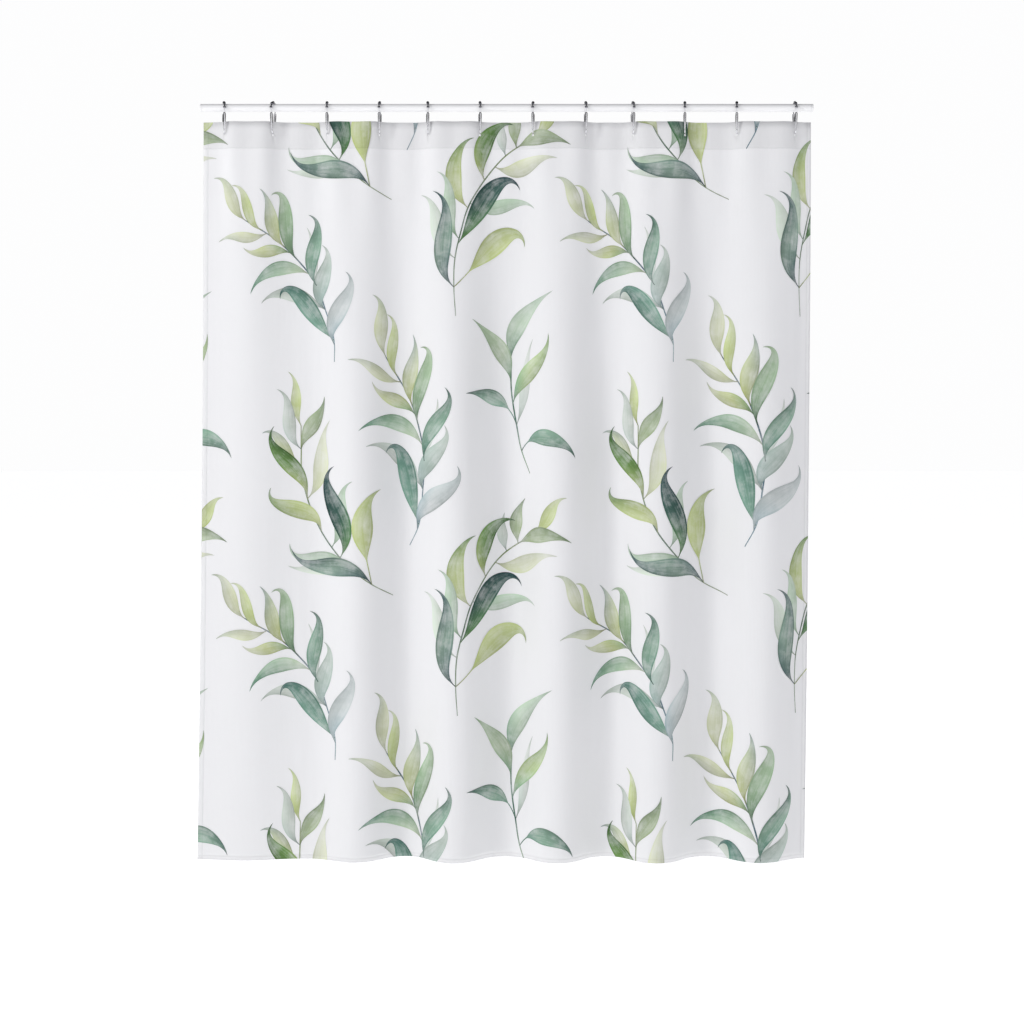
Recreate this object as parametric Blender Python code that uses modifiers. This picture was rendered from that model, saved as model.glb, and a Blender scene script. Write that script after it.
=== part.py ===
"""A shower curtain on its rod: a fabric sheet hung by rings with roller beads.

The origin is the centre of the rod's left end face. +X runs along the rod, +Z is up,
and the printed front of the curtain faces -Y.
"""
import bpy
import bmesh
from math import cos, pi, radians, sin
from mathutils import Vector

# rod
ROD_LENGTH = 1.56  # end face to end face, caps included
ROD_DIAMETER = 0.020
ROD_WALL = 0.0012
CAP_FLANGE = 0.005
CAP_SPIGOT = 0.022
CAP_EDGE = 0.0008
ROD_SIDES = 40

# rings
FIRST_RING_INSET = 0.060  # from the rod's left end
LAST_RING_INSET = 0.046  # from the rod's right end
# how far each ring hangs from an even spacing, and how far it is turned on the rod
RING_SHIFTS = (0, -0.007, -0.002, 0, -0.010, -0.009, -0.006, -0.004, -0.016, -0.016, -0.016, 0)
RING_TURNS = (15, -13, 4, -3, 6, 5, -4, 3, 7, -5, -7, 5)  # degrees about +Z
ARCH_PLAY = 0.0014  # between the rod and a bead at the arch's side
ARCH_REACH = 100  # degrees from the top to where each end of the arch stops
WIRE_DIAMETER = 0.0024
BEAD_DIAMETER = 0.0072
BEAD_WIDTH = 0.0058
BEAD_BORE_PLAY = 0.0013
BEAD_END_WALL = 0.0002830729
BEAD_SIDES = 16
SHOULDER_BELOW_ROD = 0.0025  # the rod's underside down to where the thick legs start
SHOULDER_INSET = 0.0025  # how far the legs stand inside the arch
LEG_TOP_DIAMETER = 0.0064
LEG_FOOT_DIAMETER = 0.0036
FOOT_RADIUS = 0.0085
HOLE_BELOW_ROD = 0.0560  # the rod's underside down to the wire where it passes through the fabric

# curtain
CURTAIN_LEFT_INSET = 0.006  # from the rod's left end
CURTAIN_RIGHT_INSET = 0.004
CURTAIN_BELOW_ROD = 0.025  # the rod's underside down to the top hem
CURTAIN_LENGTH = 1.88
FABRIC_THICKNESS = 0.001
FOLD_DEPTH = 0.031
BOTTOM_DRIFT = -0.015  # the lower edge hangs a little to the left
HOLE_PLAY = 0.0024  # how much wider the buttonhole is than the wire
HOLE_BELOW_WIRE = 0.009

RUNNING_GAP = 0.0003
MERGE = 0.00005

# worked out from the sizes above
ARCH_RADIUS = ROD_DIAMETER / 2 + BEAD_DIAMETER / 2 + ARCH_PLAY
BEAD_HEIGHT = ROD_DIAMETER / 2 + RUNNING_GAP + BEAD_DIAMETER / 2
SHOULDER_DROP = ROD_DIAMETER / 2 + SHOULDER_BELOW_ROD
SHOULDER_Y = ARCH_RADIUS - SHOULDER_INSET
HOLE_DROP = ROD_DIAMETER / 2 + HOLE_BELOW_ROD
CURTAIN_DROP = ROD_DIAMETER / 2 + CURTAIN_BELOW_ROD


def material(name, color, metallic, roughness):
    found = bpy.data.materials.new(name)
    found.use_nodes = True
    shader = found.node_tree.nodes["Principled BSDF"]
    shader.inputs["Base Color"].default_value = (*color, 1)
    shader.inputs["Metallic"].default_value = metallic
    shader.inputs["Roughness"].default_value = roughness
    return found


def add_object(name, mesh, finish, location=(0, 0, 0), turn=0.0):
    mesh.materials.clear()
    mesh.materials.append(finish)
    piece = bpy.data.objects.new(name, mesh)
    parts.objects.link(piece)
    piece.location = location
    piece.rotation_euler.z = turn
    return piece


def turned_mesh(name, profile, sides, axis):
    """Screw a closed or axis-to-axis outline of (radius, along) points about an axis."""
    across = "Z" if axis == "X" else "X"
    points = []
    for radius, along in profile:
        point = Vector((0, 0, 0))
        setattr(point, axis.lower(), along)
        setattr(point, across.lower(), radius)
        points.append(point)
    closed = all(radius > 0 for radius, _ in profile)
    shape = bmesh.new()
    verts = [shape.verts.new(point) for point in points]
    pairs = list(zip(verts, verts[1:]))
    if closed:
        pairs.append((verts[-1], verts[0]))
    for pair in pairs:
        shape.edges.new(pair)
    outline = bpy.data.meshes.new(name + "_outline")
    shape.to_mesh(outline)
    shape.free()
    holder = bpy.data.objects.new(name + "_outline", outline)
    parts.objects.link(holder)
    screw = holder.modifiers.new("turn", "SCREW")
    screw.axis = axis
    screw.steps = sides
    screw.render_steps = sides
    screw.use_merge_vertices = True
    screw.merge_threshold = MERGE
    return bake(holder, name)


def bake(holder, name):
    """The evaluated mesh of an object, welded, facing out and shaded smooth; the object is removed."""
    view = bpy.context.evaluated_depsgraph_get()
    mesh = bpy.data.meshes.new_from_object(holder.evaluated_get(view), depsgraph=view)
    mesh.name = name
    shape = bmesh.new()
    shape.from_mesh(mesh)
    bmesh.ops.remove_doubles(shape, verts=shape.verts, dist=MERGE)
    bmesh.ops.recalc_face_normals(shape, faces=shape.faces)
    shape.to_mesh(mesh)
    shape.free()
    mesh.shade_smooth()
    mesh.set_sharp_from_angle(angle=radians(40))
    bpy.data.objects.remove(holder)
    return mesh


def make_rod():
    outer = ROD_DIAMETER / 2
    inner = outer - ROD_WALL
    start = CAP_FLANGE + RUNNING_GAP
    end = ROD_LENGTH - start
    wall = ((outer, start), (outer, end), (inner, end), (inner, start))
    add_object("rod_tube", turned_mesh("rod_tube", wall, ROD_SIDES, "X"), rod_white)

    spigot = inner - RUNNING_GAP
    cap = (
        (0, 0),
        (outer - CAP_EDGE, 0),
        (outer, CAP_EDGE),
        (outer, CAP_FLANGE),
        (spigot, CAP_FLANGE),
        (spigot, CAP_FLANGE + CAP_SPIGOT),
        (0, CAP_FLANGE + CAP_SPIGOT),
    )
    mesh = turned_mesh("rod_cap", cap, ROD_SIDES, "X")
    add_object("rod_cap_left", mesh, cap_white)
    add_object("rod_cap_right", mesh, cap_white, (ROD_LENGTH, 0, 0), pi)


def ring_positions():
    step = (ROD_LENGTH - FIRST_RING_INSET - LAST_RING_INSET) / (len(RING_SHIFTS) - 1)
    return [FIRST_RING_INSET + step * i + shift for i, shift in enumerate(RING_SHIFTS)]


def ring_path():
    """(y, z, radius) along the ring, from the open top of the front leg to the tip above it."""
    wire = WIRE_DIAMETER / 2
    thick = LEG_TOP_DIAMETER / 2
    foot = LEG_FOOT_DIAMETER / 2
    foot_z = FOOT_RADIUS - HOLE_DROP
    path = [
        (-SHOULDER_Y, -SHOULDER_DROP, thick * 0.55),
        (-SHOULDER_Y, -SHOULDER_DROP - 0.0012, thick * 0.92),
        (-SHOULDER_Y, -SHOULDER_DROP - 0.0030, thick),
    ]
    legs = 4
    top = -SHOULDER_DROP - 0.0030
    for i in range(1, legs):
        share = i / legs
        y = SHOULDER_Y + (FOOT_RADIUS - SHOULDER_Y) * share
        path.append((-y, top + (foot_z - top) * share, thick + (foot - thick) * share))
    turns = 6
    for i in range(turns + 1):
        angle = pi * i / turns
        path.append((-FOOT_RADIUS * cos(angle), foot_z - FOOT_RADIUS * sin(angle), foot))
    for i in range(legs - 1, 0, -1):
        share = i / legs
        y = SHOULDER_Y + (FOOT_RADIUS - SHOULDER_Y) * share
        path.append((y, top + (foot_z - top) * share, thick + (foot - thick) * share))
    path += [
        (SHOULDER_Y, -SHOULDER_DROP - 0.0030, thick),
        (SHOULDER_Y, -SHOULDER_DROP - 0.0012, thick * 0.92),
        (SHOULDER_Y, -SHOULDER_DROP, wire),
    ]
    centre_z = BEAD_HEIGHT - ARCH_RADIUS
    steps = 14
    for i in range(steps + 1):
        angle = radians(ARCH_REACH) * (1 - 2 * i / steps)
        path.append((ARCH_RADIUS * sin(angle), centre_z + ARCH_RADIUS * cos(angle), wire))
    path.append((-SHOULDER_Y, -SHOULDER_DROP + 2 * RUNNING_GAP, wire))
    return path


def make_ring_mesh():
    curve = bpy.data.curves.new("ring_path", "CURVE")
    curve.dimensions = "3D"
    curve.bevel_depth = WIRE_DIAMETER / 2
    curve.bevel_resolution = 2
    curve.use_fill_caps = True
    spline = curve.splines.new("POLY")
    path = ring_path()
    spline.points.add(len(path) - 1)
    for point, (y, z, radius) in zip(spline.points, path):
        point.co = (0, y, z, 1)
        point.radius = radius / curve.bevel_depth
    holder = bpy.data.objects.new("ring_path", curve)
    parts.objects.link(holder)
    return bake(holder, "ring_wire")


def make_bead_mesh():
    outer = BEAD_DIAMETER / 2
    bore = (WIRE_DIAMETER + BEAD_BORE_PLAY) / 2
    half = BEAD_WIDTH / 2
    sink = outer - bore - BEAD_END_WALL
    crown = (half**2 + sink**2) / (2 * sink)
    steps = 6
    outline = [(bore, -half), (bore, half)]
    for i in range(steps + 1):
        along = half * (1 - 2 * i / steps)
        outline.append((outer - crown + (crown**2 - along**2) ** 0.5, along))
    return turned_mesh("ring_roller", outline, BEAD_SIDES, "Y")


def make_rings():
    wire_mesh = make_ring_mesh()
    bead_mesh = make_bead_mesh()
    for i, (x, turn) in enumerate(zip(ring_positions(), RING_TURNS), 1):
        add_object(f"ring_wire_{i:02d}", wire_mesh, chrome, (x, 0, 0), radians(turn))
        add_object(f"ring_roller_{i:02d}", bead_mesh, chrome, (x, 0, BEAD_HEIGHT), radians(turn))


def fold_index(x, rings):
    """Which ring x is at, as a number that runs smoothly from one ring to the next."""
    if x <= rings[0]:
        return (x - rings[0]) / (rings[1] - rings[0])
    for i, (low, high) in enumerate(zip(rings, rings[1:])):
        if x <= high:
            return i + (x - low) / (high - low)
    return len(rings) - 1 + (x - rings[-1]) / (rings[-1] - rings[-2])


def hang(x, z, rings):
    """Where a point of the flat curtain rests: the fabric folds once for every two rings."""
    fall = (-CURTAIN_DROP - z) / CURTAIN_LENGTH
    fold = -FOLD_DEPTH * sin(pi * fold_index(x, rings))
    return Vector((x + BOTTOM_DRIFT * fall**2, fold, z))


def make_panel(number, left, right, rings):
    """One ring's share of the curtain, as a thin sheet with the ring's buttonhole in it."""
    ring_x = rings[number - 1]
    half_hole = (LEG_FOOT_DIAMETER + HOLE_PLAY) / 2
    hole_top = -HOLE_DROP + LEG_FOOT_DIAMETER / 2 + 2 * RUNNING_GAP
    hole_bottom = -HOLE_DROP - HOLE_BELOW_WIRE
    left_inner = left + (ring_x - half_hole - left) / 2
    right_inner = right + (ring_x + half_hole - right) / 2
    columns = [left, left_inner, ring_x - half_hole, ring_x + half_hole, right_inner, right]
    bottom = -CURTAIN_DROP - CURTAIN_LENGTH
    rows = [-CURTAIN_DROP, hole_top, hole_bottom]
    spans = 4
    rows += [hole_bottom + (bottom - hole_bottom) * i / spans for i in range(1, spans + 1)]
    shape = bmesh.new()
    bmesh.ops.create_grid(shape, x_segments=len(columns) - 1, y_segments=len(rows) - 1, size=0.5)
    for vert in shape.verts:
        column = round((vert.co.x + 0.5) * (len(columns) - 1))
        row = round((0.5 - vert.co.y) * (len(rows) - 1))
        vert.co = hang(columns[column], rows[row], rings)
    centre = hang(ring_x, (hole_top + hole_bottom) / 2, rings)
    hole = min(shape.faces, key=lambda face: (face.calc_center_median() - centre).length)
    bmesh.ops.delete(shape, geom=[hole], context="FACES_ONLY")
    mesh = bpy.data.meshes.new(f"curtain_panel_{number:02d}")
    shape.to_mesh(mesh)
    shape.free()
    panel = add_object(f"curtain_panel_{number:02d}", mesh, fabric)
    wall = panel.modifiers.new("thickness", "SOLIDIFY")
    wall.thickness = FABRIC_THICKNESS
    wall.offset = 0


def make_curtain():
    rings = ring_positions()
    seams = [(low + high) / 2 for low, high in zip(rings, rings[1:])]
    lefts = [CURTAIN_LEFT_INSET] + [seam + RUNNING_GAP for seam in seams]
    rights = [seam - RUNNING_GAP for seam in seams] + [ROD_LENGTH - CURTAIN_RIGHT_INSET]
    for number, (left, right) in enumerate(zip(lefts, rights), 1):
        make_panel(number, left, right, rings)


for item in list(bpy.data.objects):
    bpy.data.objects.remove(item)
parts = bpy.data.collections.new("shower_curtain")
bpy.context.scene.collection.children.link(parts)
rod_white = material("rod_white", (0.86, 0.86, 0.87), 0.0, 0.28)
cap_white = material("cap_white", (0.82, 0.82, 0.83), 0.0, 0.45)
chrome = material("chrome", (0.62, 0.63, 0.66), 1.0, 0.12)
fabric = material("fabric", (0.88, 0.89, 0.92), 0.0, 0.85)
make_rod()
make_rings()
make_curtain()
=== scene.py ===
from math import atan, cos, pi, radians, sin, tau

import bmesh
import bpy
import numpy as np
from mathutils import Matrix, Vector


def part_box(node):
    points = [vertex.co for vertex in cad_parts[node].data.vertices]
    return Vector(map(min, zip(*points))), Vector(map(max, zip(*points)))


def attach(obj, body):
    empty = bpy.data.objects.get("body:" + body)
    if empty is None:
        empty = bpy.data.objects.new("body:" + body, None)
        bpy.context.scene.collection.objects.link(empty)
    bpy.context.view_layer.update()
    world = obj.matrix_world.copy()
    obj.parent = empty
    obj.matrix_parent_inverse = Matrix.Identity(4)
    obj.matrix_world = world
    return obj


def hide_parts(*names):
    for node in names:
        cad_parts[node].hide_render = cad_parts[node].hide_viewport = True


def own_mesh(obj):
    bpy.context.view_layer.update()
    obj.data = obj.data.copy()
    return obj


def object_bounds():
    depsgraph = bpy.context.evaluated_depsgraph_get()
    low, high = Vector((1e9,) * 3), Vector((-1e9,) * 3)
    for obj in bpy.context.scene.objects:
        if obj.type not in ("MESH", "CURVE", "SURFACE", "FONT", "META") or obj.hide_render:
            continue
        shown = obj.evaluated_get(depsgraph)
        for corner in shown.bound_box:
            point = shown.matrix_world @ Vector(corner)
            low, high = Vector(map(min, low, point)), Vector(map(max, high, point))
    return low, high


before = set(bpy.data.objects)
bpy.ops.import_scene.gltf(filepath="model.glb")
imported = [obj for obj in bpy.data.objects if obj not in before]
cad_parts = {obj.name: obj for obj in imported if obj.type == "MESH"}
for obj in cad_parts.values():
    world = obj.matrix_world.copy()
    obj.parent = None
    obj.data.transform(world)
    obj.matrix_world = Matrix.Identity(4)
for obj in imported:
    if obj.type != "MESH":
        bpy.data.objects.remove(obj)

cadBox = [list(corner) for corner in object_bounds()]
ringCount = sum(name.startswith("ring_wire_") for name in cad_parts)
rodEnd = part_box("rod_tube")[1].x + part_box("rod_tube")[0].x


def numbered(name):
    return [f"{name}_{i:02d}" for i in range(1, ringCount + 1)]


def nodeCentre(name):
    low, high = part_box(name)
    return (low + high) / 2


ringPlaces = [nodeCentre(name) for name in numbered("ring_roller")]
ringX = [place.x for place in ringPlaces]


def addPiece(name, mesh, material):
    piece = bpy.data.objects.new(name, mesh)
    bpy.context.scene.collection.objects.link(piece)
    piece.data.materials.append(material)
    return piece


def meshFrom(bm, name, smooth=True):
    mesh = bpy.data.meshes.new(name)
    for face in bm.faces:
        face.smooth = smooth
    bm.to_mesh(mesh)
    bm.free()
    return mesh


def vertexPlaces(mesh):
    places = np.empty(len(mesh.vertices) * 3)
    mesh.vertices.foreach_get("co", places)
    return places.reshape(-1, 3)


def allParts(bm):
    return list(bm.verts) + list(bm.edges) + list(bm.faces)


def setVertexPlaces(mesh, places):
    mesh.vertices.foreach_set("co", places.astype(np.float32).ravel())
    mesh.update()


def ink(hexColour):
    channels = [int(hexColour[i:i + 2], 16) / 255 for i in (0, 2, 4)]
    return [c / 12.92 if c <= 0.04045 else ((c + 0.055) / 1.055) ** 2.4 for c in channels]


def fillRamp(ramp, stops):
    # new stops go in from left to right, because moving one past another swaps them
    first, last = ramp.elements[0], ramp.elements[1]
    for element, (place, value) in ((first, stops[0]), (last, stops[-1])):
        element.position = place
        element.color = (value, value, value, 1)
    for place, value in stops[1:-1]:
        ramp.elements.new(place).color = (value, value, value, 1)


class Nodes:
    def __init__(self, name):
        self.material = bpy.data.materials.new(name)
        self.material.use_nodes = True
        self.tree = self.material.node_tree
        self.shader = self.tree.nodes["Principled BSDF"]
        self.output = self.tree.nodes["Material Output"]

    def add(self, kind, **settings):
        node = self.tree.nodes.new("ShaderNode" + kind)
        for key, value in settings.items():
            setattr(node, key, value)
        return node

    def link(self, source, target):
        self.tree.links.new(source, target)

    def math(self, operation, first, second=None):
        node = self.add("Math", operation=operation)
        for socket, value in zip(node.inputs, (first, second)):
            if value is None:
                continue
            if isinstance(value, (int, float)):
                socket.default_value = value
            else:
                self.link(value, socket)
        return node.outputs[0]

    def mix(self, factor, first, second, blend="MIX"):
        node = self.add("Mix", data_type="RGBA", blend_type=blend)
        for socket, value in ((node.inputs[0], factor), (node.inputs[6], first), (node.inputs[7], second)):
            if isinstance(value, (int, float)):
                socket.default_value = value
            elif isinstance(value, (tuple, list)):
                socket.default_value = (*value[:3], 1)
            else:
                self.link(value, socket)
        return node.outputs[2]

    def noise(self, vector, scale, detail=2.0, roughness=0.5):
        node = self.add("TexNoise")
        node.inputs["Scale"].default_value = scale
        node.inputs["Detail"].default_value = detail
        node.inputs["Roughness"].default_value = roughness
        self.link(vector, node.inputs["Vector"])
        return node.outputs[0]

    def stretched(self, vector, scale):
        node = self.add("Mapping")
        node.inputs["Scale"].default_value = scale
        self.link(vector, node.inputs["Vector"])
        return node.outputs[0]

    def ramp(self, factor, stops):
        node = self.add("ValToRGB")
        fillRamp(node.color_ramp, stops)
        self.link(factor, node.inputs[0])
        return node.outputs[0]

    def bump(self, height, distance, strength=1.0, normal=None):
        node = self.add("Bump")
        node.inputs["Strength"].default_value = strength
        node.inputs["Distance"].default_value = distance
        self.link(height, node.inputs["Height"])
        if normal is not None:
            self.link(normal, node.inputs["Normal"])
        return node.outputs[0]

    def set(self, **values):
        for key, value in values.items():
            self.shader.inputs[key.replace("_", " ")].default_value = value


# how the cloth hangs, in metres on the flat cloth
drape = {
    "width": 1.80,
    "length": 1.88,
    "firstHole": 0.058,
    "topZ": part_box("curtain_panel_02")[1].z,
    "edgeLeft": 0.006,
    "edgeRight": rodEnd - 0.004,
    "drift": -0.015,
    "columns": 901,
    "rows": 95,
    # depth of the fold in each gap between rings, from left of the first ring to right of the last
    "topFolds": (0.009, 0.012, 0.011, 0.010, 0.013, 0.012, 0.011, 0.013, 0.012, 0.012, 0.013, 0.012, 0.008),
    "bottomFolds": (
        0.007, 0.008, 0.010, 0.026, 0.033, 0.034, 0.033, 0.034, 0.033, 0.033, 0.033, 0.031, 0.020,
    ),
    "ripple": 0.0035,
    "wander": 0.0012,
    "hemSag": 0.0006,
    # shares of the length by which the folds are open, the header's ripple has gone and the folds wander
    "openBy": 0.55,
    "rippleBy": 0.22,
    "wanderBy": 0.4,
    "settle": 0.5,
    "lookStep": 0.002,
}
holeStep = (drape["width"] - 2 * drape["firstHole"]) / (ringCount - 1)
holeU = [drape["firstHole"] + holeStep * i for i in range(ringCount)]


def smoothStep(value):
    value = np.clip(value, 0, 1)
    return value * value * (3 - 2 * value)


def hangCloth():
    u = np.linspace(0, drape["width"], drape["columns"])
    v = np.linspace(0, drape["length"], drape["rows"])
    fold = (u - drape["firstHole"]) / holeStep
    gapCentres = np.arange(ringCount + 1) - 0.5
    topDepth = np.interp(fold, gapCentres, drape["topFolds"])
    bottomDepth = np.interp(fold, gapCentres, drape["bottomFolds"])
    ripple = drape["ripple"] * np.sin(3 * pi * fold)
    ripple *= np.interp(fold, [-0.3, 0, ringCount - 1, ringCount - 0.7], [0, 1, 1, 0])
    leftEdge = drape["edgeLeft"]
    rightEdge = drape["edgeRight"]
    knotsU = np.array([0] + holeU + [drape["width"]])
    knotsTop = np.array([leftEdge] + ringX + [rightEdge])
    x = np.empty((drape["rows"], drape["columns"]))
    y = np.empty_like(x)
    z = np.empty_like(x)
    for row, depth in enumerate(v):
        fall = depth / drape["length"]
        opened = smoothStep(fall / drape["openBy"])
        y[row] = -np.sin(pi * fold) * (topDepth * (1 - opened) + bottomDepth * opened)
        y[row] -= ripple * (1 - smoothStep(fall / drape["rippleBy"]))
        wander = drape["wander"] * np.sin(2.1 * fold + 3.4 * depth)
        y[row] += wander * smoothStep(fall / drape["wanderBy"])
        slope = np.gradient(y[row], u)
        run = np.sqrt(np.clip(1 - slope**2, 0.15, 1))
        length = np.concatenate(([0], np.cumsum((run[1:] + run[:-1]) / 2 * np.diff(u))))
        # each gap at the header keeps to its two rings, and lower down the folds share the width
        lengthAtKnots = np.interp(knotsU, u, length)
        pinned = np.interp(length, lengthAtKnots, knotsTop)
        free = leftEdge + (rightEdge - leftEdge) * length / length[-1]
        loose = drape["settle"] * smoothStep((fall - 0.05) / 0.9)
        x[row] = pinned * (1 - loose) + free * loose + drape["drift"] * fall**2
        z[row] = drape["topZ"] - depth
    # the hem dips a little between rings
    sag = drape["hemSag"] * np.sin(pi * fold) ** 2
    z -= sag * np.exp(-v / 0.12)[:, None]
    return u, v, x, y, z


clothU, clothV, clothX, clothY, clothZ = hangCloth()
print("cloth drape worked out")


def lookUp(table, u, v):
    column = np.clip(u / drape["width"], 0, 1) * (drape["columns"] - 1)
    row = np.clip(v / drape["length"], 0, 1) * (drape["rows"] - 1)
    c = np.minimum(column.astype(int), drape["columns"] - 2)
    r = np.minimum(row.astype(int), drape["rows"] - 2)
    a = column - c
    b = row - r
    upper = table[r, c] * (1 - a) + table[r, c + 1] * a
    lower = table[r + 1, c] * (1 - a) + table[r + 1, c + 1] * a
    return upper * (1 - b) + lower * b


def surface(u, v):
    return np.stack([lookUp(table, u, v) for table in (clothX, clothY, clothZ)], axis=1)


def layOnCloth(flat):
    # flat places: x along the width, y down the length, z out from the printed front
    u, v, out = flat[:, 0], flat[:, 1], flat[:, 2]
    step, width, length = drape["lookStep"], drape["width"], drape["length"]
    across = surface(np.clip(u + step, 0, width), v) - surface(np.clip(u - step, 0, width), v)
    down = surface(u, np.clip(v + step, 0, length)) - surface(u, np.clip(v - step, 0, length))
    normal = np.cross(down, across)
    normal /= np.linalg.norm(normal, axis=1)[:, None]
    normal *= -np.sign(normal[:, 1])[:, None]
    return surface(u, v) + normal * out[:, None]


def layMesh(mesh):
    flat = vertexPlaces(mesh)
    uv = mesh.uv_layers.get("flat") or mesh.uv_layers.new(name="flat")
    loops = np.empty(len(mesh.loops), int)
    mesh.loops.foreach_get("vertex_index", loops)
    uv.data.foreach_set("uv", flat[loops, :2].astype(np.float32).ravel())
    setVertexPlaces(mesh, layOnCloth(flat))


def hangPiece(piece):
    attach(piece, "curtain_end")
    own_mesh(piece)
    return piece


fabricLook = {
    "white": (0.86, 0.86, 0.872),
    "rib": 0.0034,
    "ribHeight": 0.00013,
    "roughness": 0.82,
    "sheen": 0.12,
    "translucent": 0.12,
    # painted shade over the doubled header, for the light that two layers keep back
    "headerShade": 0.06,
    # how far a stitch line draws the cloth in, to each side and down
    "groove": 0.0022,
    "grooveDepth": 4.0,
    # painted shade along the stitch grooves, where the cloth is drawn in
    "grooveShade": 0.06,
}
hem = {
    "header": 0.070,
    "headerStitch": 0.068,
    "side": 0.0150,
    "sideStitch": 0.0127,
    "bottom": 0.0120,
    "bottomStitch": 0.0095,
    "layer": 0.0009,
    "thickness": 0.0005,
    "inset": 0.0005,
}


def fabricMaterial(name, paintShare=0):
    look = fabricLook
    nodes = Nodes(name)
    flatMap = nodes.add("UVMap", uv_map="flat").outputs[0]
    axes = nodes.add("SeparateXYZ")
    nodes.link(flatMap, axes.inputs[0])
    u, v = axes.outputs[0], axes.outputs[1]
    # ribs run down the cloth, and finer threads cross them
    rib = nodes.math("SINE", nodes.math("MULTIPLY", u, tau / look["rib"]))
    slub = nodes.noise(nodes.stretched(flatMap, (900, 60, 1)), 1.0, 2.0)
    cross = nodes.noise(nodes.stretched(flatMap, (120, 1100, 1)), 1.0, 2.0)
    height = nodes.math("ADD", nodes.math("MULTIPLY", rib, 0.5), nodes.math("MULTIPLY", slub, 0.9))
    height = nodes.math("ADD", height, nodes.math("MULTIPLY", cross, 0.5))
    # stitch lines pull the cloth in
    grooves = None
    lines = (
        (v, hem["headerStitch"]), (u, hem["sideStitch"]), (u, drape["width"] - hem["sideStitch"]),
        (v, drape["length"] - hem["bottomStitch"]),
    )
    for axis, place in lines:
        away = nodes.math("ABSOLUTE", nodes.math("SUBTRACT", axis, place))
        reach = nodes.math("MINIMUM", nodes.math("DIVIDE", away, look["groove"]), 1.0)
        groove = nodes.math("SUBTRACT", 1.0, reach)
        grooves = groove if grooves is None else nodes.math("MAXIMUM", grooves, groove)
    height = nodes.math("SUBTRACT", height, nodes.math("MULTIPLY", grooves, look["grooveDepth"]))
    normal = nodes.bump(height, look["ribHeight"], 0.75)
    broad = nodes.noise(nodes.stretched(flatMap, (3, 2, 1)), 1.0, 3.0)
    nodes.link(nodes.bump(broad, 0.004, 0.5, normal), nodes.shader.inputs["Normal"])
    # the doubled header is painted a touch greyer, as shade for the light that two layers keep back, and
    # thread tone varies
    header = nodes.math("LESS_THAN", v, hem["headerStitch"])
    tone = nodes.math("SUBTRACT", 1.0, nodes.math("MULTIPLY", header, look["headerShade"]))
    # the stitch grooves are painted darker, as shade in the creases
    tone = nodes.math("SUBTRACT", tone, nodes.math("MULTIPLY", grooves, look["grooveShade"]))
    tone = nodes.math("ADD", tone, nodes.math("MULTIPLY", nodes.math("SUBTRACT", slub, 0.5), 0.03))
    # the ribs' hollows are painted darker and their crests lighter, as shade and light on the ribs
    tone = nodes.math("ADD", tone, nodes.math("MULTIPLY", rib, 0.014))
    cloth = nodes.mix(1.0, look["white"], tone, "MULTIPLY")
    if paintShare:
        cloth = printedColour(nodes, cloth, rib, paintShare)
    nodes.link(cloth, nodes.shader.inputs["Base Color"])
    nodes.set(Roughness=look["roughness"], Sheen_Weight=look["sheen"], Sheen_Roughness=0.4)
    nodes.set(Specular_IOR_Level=0.25)
    through = nodes.add("BsdfTranslucent")
    nodes.link(cloth, through.inputs["Color"])
    blend = nodes.add("MixShader")
    blend.inputs[0].default_value = look["translucent"]
    nodes.link(nodes.shader.outputs[0], blend.inputs[1])
    nodes.link(through.outputs[0], blend.inputs[2])
    nodes.link(blend.outputs[0], nodes.output.inputs["Surface"])
    return nodes.material


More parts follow.
